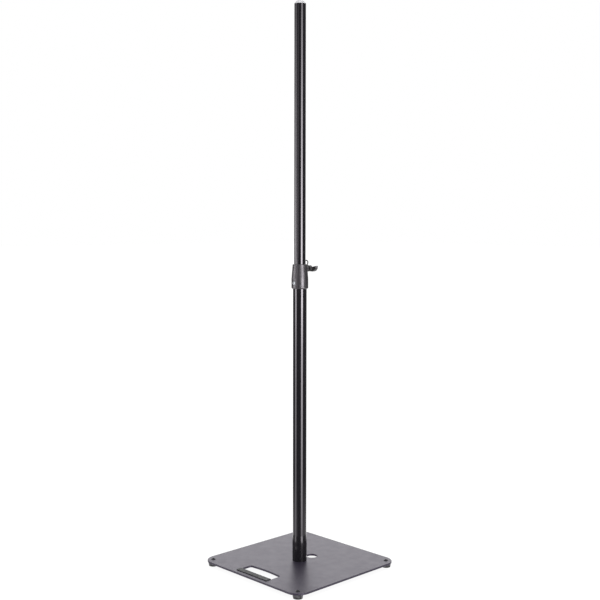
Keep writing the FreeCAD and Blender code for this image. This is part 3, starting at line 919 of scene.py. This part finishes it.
class Sky:
    """The world's nodes: light that depends on its direction round the mast and its slope."""

    def __init__(self):
        world = bpy.data.worlds.new("studio")
        world.use_nodes = True
        bpy.context.scene.world = world
        self.tree = world.node_tree
        self.tree.nodes.clear()
        direction = self.tree.nodes.new("ShaderNodeTexCoord").outputs["Generated"]
        forward = self.dot(direction, TO_CAMERA)
        sideways = self.dot(direction, TO_RIGHT)
        up = self.dot(direction, UP)
        self.turn = self.maths("ARCTAN2", sideways, forward)
        level = self.maths("SQRT", self.maths("SUBTRACT", 1.0001, self.maths("MULTIPLY", up, up)))
        self.slope = self.maths("DIVIDE", up, level)

    def put(self, value, socket):
        if isinstance(value, (int, float)):
            socket.default_value = value
        else:
            self.tree.links.new(value, socket)

    def dot(self, direction, way):
        node = self.tree.nodes.new("ShaderNodeVectorMath")
        node.operation = "DOT_PRODUCT"
        self.tree.links.new(direction, node.inputs[0])
        node.inputs[1].default_value = way
        return node.outputs["Value"]

    def maths(self, operation, *values):
        node = self.tree.nodes.new("ShaderNodeMath")
        node.operation = operation
        for value, socket in zip(values, node.inputs):
            self.put(value, socket)
        return node.outputs["Value"]

    def ramp(self, value, start, end, low, high, kind="SMOOTHSTEP"):
        """Goes from low at start to high at end, and stays there."""
        node = self.tree.nodes.new("ShaderNodeMapRange")
        node.interpolation_type = kind
        node.inputs["From Min"].default_value = start
        node.inputs["From Max"].default_value = end
        node.inputs["To Min"].default_value = low
        node.inputs["To Max"].default_value = high
        self.put(value, node.inputs["Value"])
        return node.outputs["Result"]

    def by_bearing(self, value, bearings, low, high):
        """A ramp between two bearings, in degrees."""
        start, end = bearings
        return self.ramp(value, math.radians(start), math.radians(end), low, high)

    def by_slope(self, slopes, low, high):
        start, end = slopes
        return self.ramp(self.slope, start, end, low, high)

    def strip(self, bearing, reach, edge, radiance):
        """An upright strip light: its bearing, half its width, and the width of its soft edge."""
        off = self.maths("ABSOLUTE", self.maths("SUBTRACT", self.turn, math.radians(bearing)))
        return self.by_bearing(off, (reach, reach + edge), radiance, 0.0)

    def combined(self, operation, *values):
        total = values[0]
        for value in values[1:]:
            total = self.maths(operation, total, value)
        return total

    def finish(self, radiance):
        """The light, and a plain white backdrop that only the camera sees."""
        around = self.tree.nodes.new("ShaderNodeBackground")
        self.tree.links.new(radiance, around.inputs["Strength"])
        backdrop = self.tree.nodes.new("ShaderNodeBackground")
        backdrop.inputs["Strength"].default_value = 1.0
        for background in (around, backdrop):
            background.inputs["Color"].default_value = (1, 1, 1, 1)
        seen = self.tree.nodes.new("ShaderNodeLightPath").outputs["Is Camera Ray"]
        mix = self.tree.nodes.new("ShaderNodeMixShader")
        self.tree.links.new(seen, mix.inputs["Fac"])
        self.tree.links.new(around.outputs["Background"], mix.inputs[1])
        self.tree.links.new(backdrop.outputs["Background"], mix.inputs[2])
        output = self.tree.nodes.new("ShaderNodeOutputWorld")
        self.tree.links.new(mix.outputs["Shader"], output.inputs["Surface"])


def studio():
    """Strip lights in two tiers round a dark camera side, a bright wall behind, a bright floor below."""
    sky = Sky()
    upper = sky.combined(
        "ADD",
        sky.strip(KEY_BEARING, KEY_HALF_WIDTH, STRIP_EDGE, KEY_RADIANCE),
        sky.strip(RIM_BEARING, RIM_HALF_WIDTH, STRIP_EDGE, RIM_RADIANCE),
        sky.strip(FILL_BEARING, FILL_HALF_WIDTH, FILL_EDGE, FILL_RADIANCE),
    )
    lower = sky.combined(
        "ADD",
        sky.strip(KEY_BEARING, LOW_KEY_HALF_WIDTH, STRIP_EDGE, KEY_RADIANCE),
        sky.strip(LOW_RIM_BEARING, RIM_HALF_WIDTH, STRIP_EDGE, RIM_RADIANCE),
    )
    seam = (TIER_SLOPE - TIER_SEAM, TIER_SLOPE + TIER_SEAM)
    upper_fading = sky.combined(
        "MULTIPLY",
        sky.ramp(sky.slope, TIER_SLOPE, TIER_SLOPE + UPPER_REACH, 1.0, TIER_TAIL, "LINEAR"),
        sky.by_slope(seam, 0.0, 1.0),
    )
    lower_fading = sky.combined(
        "MULTIPLY",
        sky.by_slope(seam, 1.0, 0.0),
        *(sky.ramp(sky.slope, high, low, 1.0, left, kind) for high, low, left, kind in LOWER_FADES),
    )
    from_front = sky.maths("ABSOLUTE", sky.turn)
    low_sides = sky.combined(
        "MULTIPLY",
        sky.by_bearing(from_front, LOW_SIDE_BEARINGS, FRONT_FLOOR_RADIANCE, SIDE_FLOOR_RADIANCE),
        sky.by_slope(LOW_SIDE_SLOPES, 0.0, 1.0),
    )
    around = sky.combined(
        "MAXIMUM",
        sky.by_bearing(from_front, WALL_BEARINGS, WALL_RADIANCE, DARK_RADIANCE),
        sky.by_slope(HIGH_WALL_SLOPES, 0.0, HIGH_WALL_RADIANCE),
        low_sides,
        sky.by_slope(FLOOR_SLOPES, 0.0, FLOOR_RADIANCE),
    )
    sky.finish(sky.combined(
        "ADD",
        sky.maths("MULTIPLY", upper, upper_fading),
        sky.maths("MULTIPLY", lower, lower_fading),
        around,
        sky.by_slope(CEILING_SLOPES, 0.0, CEILING_RADIANCE),
    ))


def floor():
    """A plain pale floor, left out of reflections. It casts no shadow, but shadows fall on it."""
    bpy.ops.mesh.primitive_plane_add(size=60)
    plane = bpy.context.object
    plane.name = "floor"
    s = Shader("floor_paper", 0.9, specular=0.0)
    s.colours(s.ranged(s.noise(3.0, 3.0), 0, 1), (0.11, 0.11, 0.11), (0.12, 0.12, 0.12))
    s.surface.inputs["Emission Color"].default_value = (1, 1, 1, 1)
    s.surface.inputs["Emission Strength"].default_value = FLOOR_GLOW
    plane.data.materials.append(s.material)
    plane.visible_glossy = False
    plane.visible_shadow = False


camera()
studio()
floor()
bpy.context.scene.view_settings.view_transform = "Standard"
